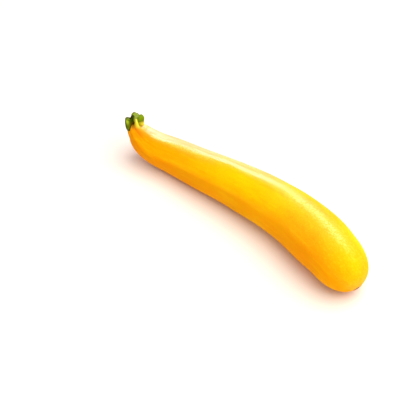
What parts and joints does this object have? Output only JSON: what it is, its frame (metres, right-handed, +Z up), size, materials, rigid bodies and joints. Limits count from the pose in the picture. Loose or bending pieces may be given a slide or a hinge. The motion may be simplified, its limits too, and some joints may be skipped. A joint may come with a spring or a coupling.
{
  "type": "yellow zucchini",
  "caption": "Long, slightly bowed yellow zucchini with a ribbed neck and a lobed green stem stub, lying on its belly.",
  "frame": {"origin": "bottom centre of the box round the whole zucchini, on the surface it lies on", "axes": "+X runs along the fruit from the stem toward the blossom end, +Z is up, and the belly bows toward +Y"},
  "size_m": [0.2046, 0.045, 0.0372],
  "materials": {
    "skin": "smooth waxy yellow vegetable skin",
    "stem": "green fibrous stem bark with a pale cut end"
  },
  "bodies": {
    "root": {"fruit": "skin", "stem": "stem"}
  },
  "joints": []
}
